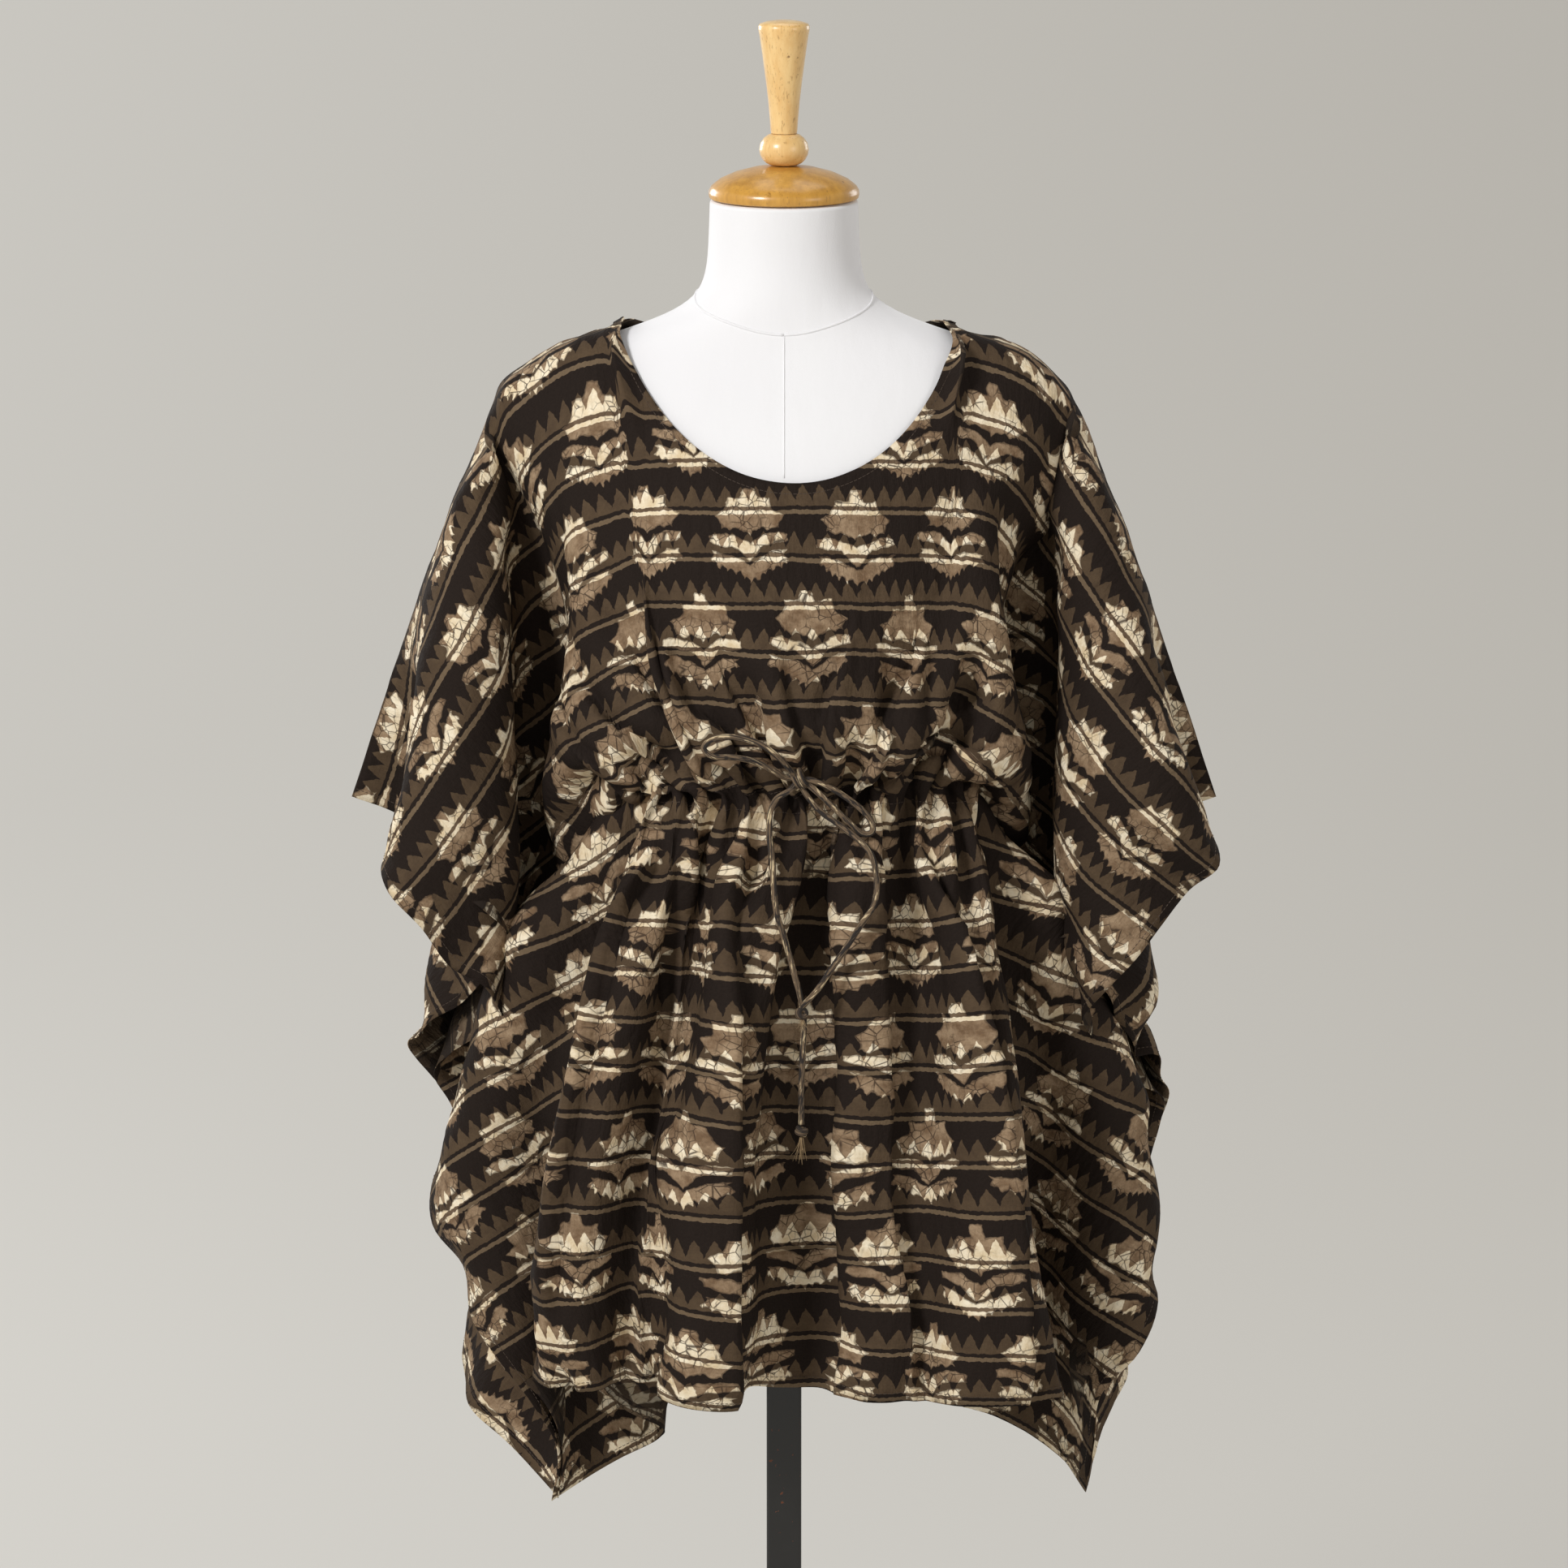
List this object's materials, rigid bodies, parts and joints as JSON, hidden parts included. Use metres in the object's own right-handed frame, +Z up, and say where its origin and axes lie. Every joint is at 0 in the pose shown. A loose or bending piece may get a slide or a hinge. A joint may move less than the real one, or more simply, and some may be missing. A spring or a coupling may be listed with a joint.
{
  "type": "short kaftan on a limbless dress form",
  "caption": "Short block-printed kaftan with open sleeves and a gathered drawstring waist, hung on a padded dress form with a wooden neck cap and a round floor stand.",
  "frame": {"origin": "floor under the middle of the whole object's box", "axes": "+Z up, -Y the way the kaftan's front faces, +X to the viewer's right"},
  "size_m": [0.6183, 0.42, 1.5964],
  "materials": {
    "printed_cotton": "matte block-printed cotton",
    "tie_cloth": "rolled printed cotton",
    "form_jersey": "white stretched jersey",
    "lacquered_wood": "honey lacquer",
    "black_steel": "black paint, slightly worn"
  },
  "bodies": {
    "root": {"kaftan_front": "printed_cotton", "kaftan_back": "printed_cotton", "tie_knot": "tie_cloth", "tie_loop_left": "tie_cloth", "tie_loop_right": "tie_cloth", "tie_tail_left": "tie_cloth", "tie_tail_right": "tie_cloth", "tie_end_left": "tie_cloth", "tie_end_right": "tie_cloth", "form_torso": "form_jersey", "neck_cap": "lacquered_wood", "head_ball": "lacquered_wood", "head_handle": "lacquered_wood", "pole": "black_steel", "pole_collar": "black_steel", "base_plate": "black_steel"}
  },
  "joints": []
}
